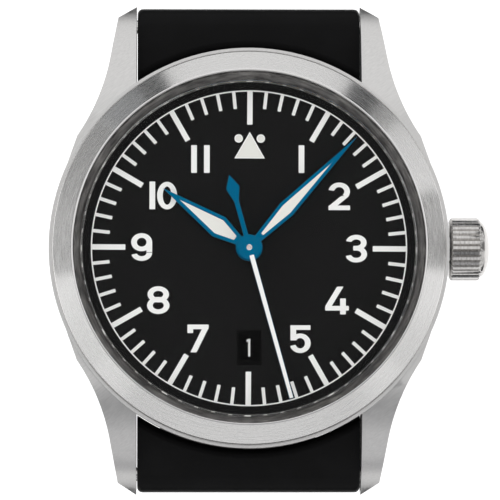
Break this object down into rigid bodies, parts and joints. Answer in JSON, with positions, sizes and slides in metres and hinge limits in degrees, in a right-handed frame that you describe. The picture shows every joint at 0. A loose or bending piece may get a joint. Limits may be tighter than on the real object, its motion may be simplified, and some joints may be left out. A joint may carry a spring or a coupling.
{
  "type": "pilot watch",
  "caption": "Steel pilot watch with a black dial, blued lance hands, a fluted crown, a self-winding going train and a two-piece leather strap on a pin buckle.",
  "frame": {"origin": "centre of the case back's outer face", "axes": "+Z out of the dial, +Y towards 12, +X towards the crown at 3"},
  "size_m": [0.0431, 0.048, 0.0956],
  "materials": {
    "case_steel": "satin with polished edges",
    "sapphire": "clear, polished",
    "dial_black": "matt",
    "hand_blue": "gloss blue",
    "lume_white": "matt",
    "movement_steel": "polished",
    "movement_brass": "fine brushed",
    "rotor_steel": "satin",
    "holder_plastic": "matt",
    "strap_leather": "smooth, matt"
  },
  "bodies": {
    "head": {"mid_case": "case_steel", "bezel": "case_steel", "crystal": "sapphire", "flange_ring": "case_steel", "dial": "dial_black", "crown_tube": "case_steel", "case_back": "case_steel", "movement_ring": "holder_plastic", "main_plate": "movement_brass", "barrel_bridge": "movement_brass", "train_bridge": "movement_brass", "balance_cock": "movement_brass", "hairspring": "movement_steel", "rotor_bearing": "movement_steel", "spring_bar_12": "movement_steel", "spring_bar_6": "movement_steel"},
    "minute_group": {"minute_hand": "hand_blue", "minute_hand_lume": "lume_white", "cannon_pinion": "movement_steel", "centre_wheel": "movement_brass"},
    "hour_group": {"hour_hand": "hand_blue", "hour_hand_lume": "lume_white", "hour_wheel": "movement_brass"},
    "seconds_group": {"second_hand": "hand_blue", "fourth_wheel": "movement_brass"},
    "third_wheel": {"third_wheel": "movement_brass"},
    "escape_wheel": {"escape_wheel": "movement_steel"},
    "barrel": {"barrel": "movement_brass"},
    "minute_wheel": {"minute_wheel": "movement_brass"},
    "date_ring": {"date_ring": "dial_black"},
    "rotor": {"rotor": "rotor_steel"},
    "balance_wheel": {"balance_wheel": "movement_brass"},
    "pallet_fork": {"pallet_fork": "movement_steel"},
    "stem": {"stem": "movement_steel"},
    "crown": {"crown": "case_steel"},
    "strap_12": {"strap_12": "strap_leather", "fixed_keeper": "strap_leather", "buckle_bar": "movement_steel"},
    "strap_6": {"strap_6": "strap_leather"},
    "free_keeper": {"free_keeper": "strap_leather"},
    "buckle": {"buckle": "case_steel"},
    "tang": {"tang": "case_steel"}
  },
  "joints": [
    {"name": "minute_turn", "type": "hinge", "parent": "head", "child": "minute_group", "pos_m": [0, 0, 0.004], "axis": [0, 0, -1], "continuous": true},
    {"name": "hour_turn", "type": "hinge", "parent": "head", "child": "hour_group", "pos_m": [0, 0, 0.006], "axis": [0, 0, -1], "continuous": true},
    {"name": "seconds_turn", "type": "hinge", "parent": "head", "child": "seconds_group", "pos_m": [0, 0, 0.0035], "axis": [0, 0, -1], "continuous": true},
    {"name": "third_turn", "type": "hinge", "parent": "head", "child": "third_wheel", "pos_m": [-0.00414, -0.00073, 0.0037], "axis": [0, 0, -1], "continuous": true},
    {"name": "escape_turn", "type": "hinge", "parent": "head", "child": "escape_wheel", "pos_m": [0.00352, -0.00247, 0.0044], "axis": [0, 0, -1], "continuous": true},
    {"name": "barrel_turn", "type": "hinge", "parent": "head", "child": "barrel", "pos_m": [0.00325, 0.00563, 0.0045], "axis": [0, 0, -1], "continuous": true},
    {"name": "minute_wheel_turn", "type": "hinge", "parent": "head", "child": "minute_wheel", "pos_m": [0.00225, 0.0013, 0.0059], "axis": [0, 0, -1], "continuous": true},
    {"name": "date_ring_turn", "type": "hinge", "parent": "head", "child": "date_ring", "pos_m": [0, 0, 0.006], "axis": [0, 0, -1], "continuous": true},
    {"name": "rotor_turn", "type": "hinge", "parent": "head", "child": "rotor", "pos_m": [0, 0, 0.002], "axis": [0, 0, 1], "continuous": true},
    {"name": "balance_swing", "type": "hinge", "parent": "head", "child": "balance_wheel", "pos_m": [0.0012, -0.00831, 0.0036], "axis": [0, 0, 1], "range_deg": [-270, 270], "stiffness_Nm_per_rad": 0.00000033},
    {"name": "fork_rock", "type": "hinge", "parent": "head", "child": "pallet_fork", "pos_m": [0.00254, -0.00493, 0.0045], "axis": [0, 0, 1], "range_deg": [-6, 6]},
    {"name": "crown_pull", "type": "slide", "parent": "head", "child": "stem", "axis": [1, 0, 0], "range_m": [0, 0.0016]},
    {"name": "crown_turn", "type": "hinge", "parent": "stem", "child": "crown", "pos_m": [0.021, 0, 0.0043], "axis": [1, 0, 0], "continuous": true},
    {"name": "strap_12_swing", "type": "hinge", "parent": "head", "child": "strap_12", "pos_m": [0, 0.022, 0.0025], "axis": [1, 0, 0], "range_deg": [0, 110]},
    {"name": "strap_6_swing", "type": "hinge", "parent": "head", "child": "strap_6", "pos_m": [0, -0.022, 0.0025], "axis": [-1, 0, 0], "range_deg": [0, 110]},
    {"name": "keeper_slide", "type": "slide", "parent": "strap_12", "child": "free_keeper", "axis": [0, -0.7071, -0.7071], "range_m": [0, 0.004]},
    {"name": "buckle_swing", "type": "hinge", "parent": "strap_12", "child": "buckle", "pos_m": [0, -0.00244, -0.06251], "axis": [1, 0, 0], "range_deg": [-40, 45]},
    {"name": "tang_swing", "type": "hinge", "parent": "buckle", "child": "tang", "pos_m": [0, -0.00244, -0.06251], "axis": [1, 0, 0], "range_deg": [0, 65]}
  ],
  "couplings": [
    {"joint": "hour_turn", "follows": "minute_turn", "ratio": 0.083333},
    {"joint": "seconds_turn", "follows": "minute_turn", "ratio": 60},
    {"joint": "third_turn", "follows": "minute_turn", "ratio": -8},
    {"joint": "escape_turn", "follows": "minute_turn", "ratio": -600},
    {"joint": "barrel_turn", "follows": "minute_turn", "ratio": -0.13333},
    {"joint": "minute_wheel_turn", "follows": "minute_turn", "ratio": -0.33333}
  ]
}
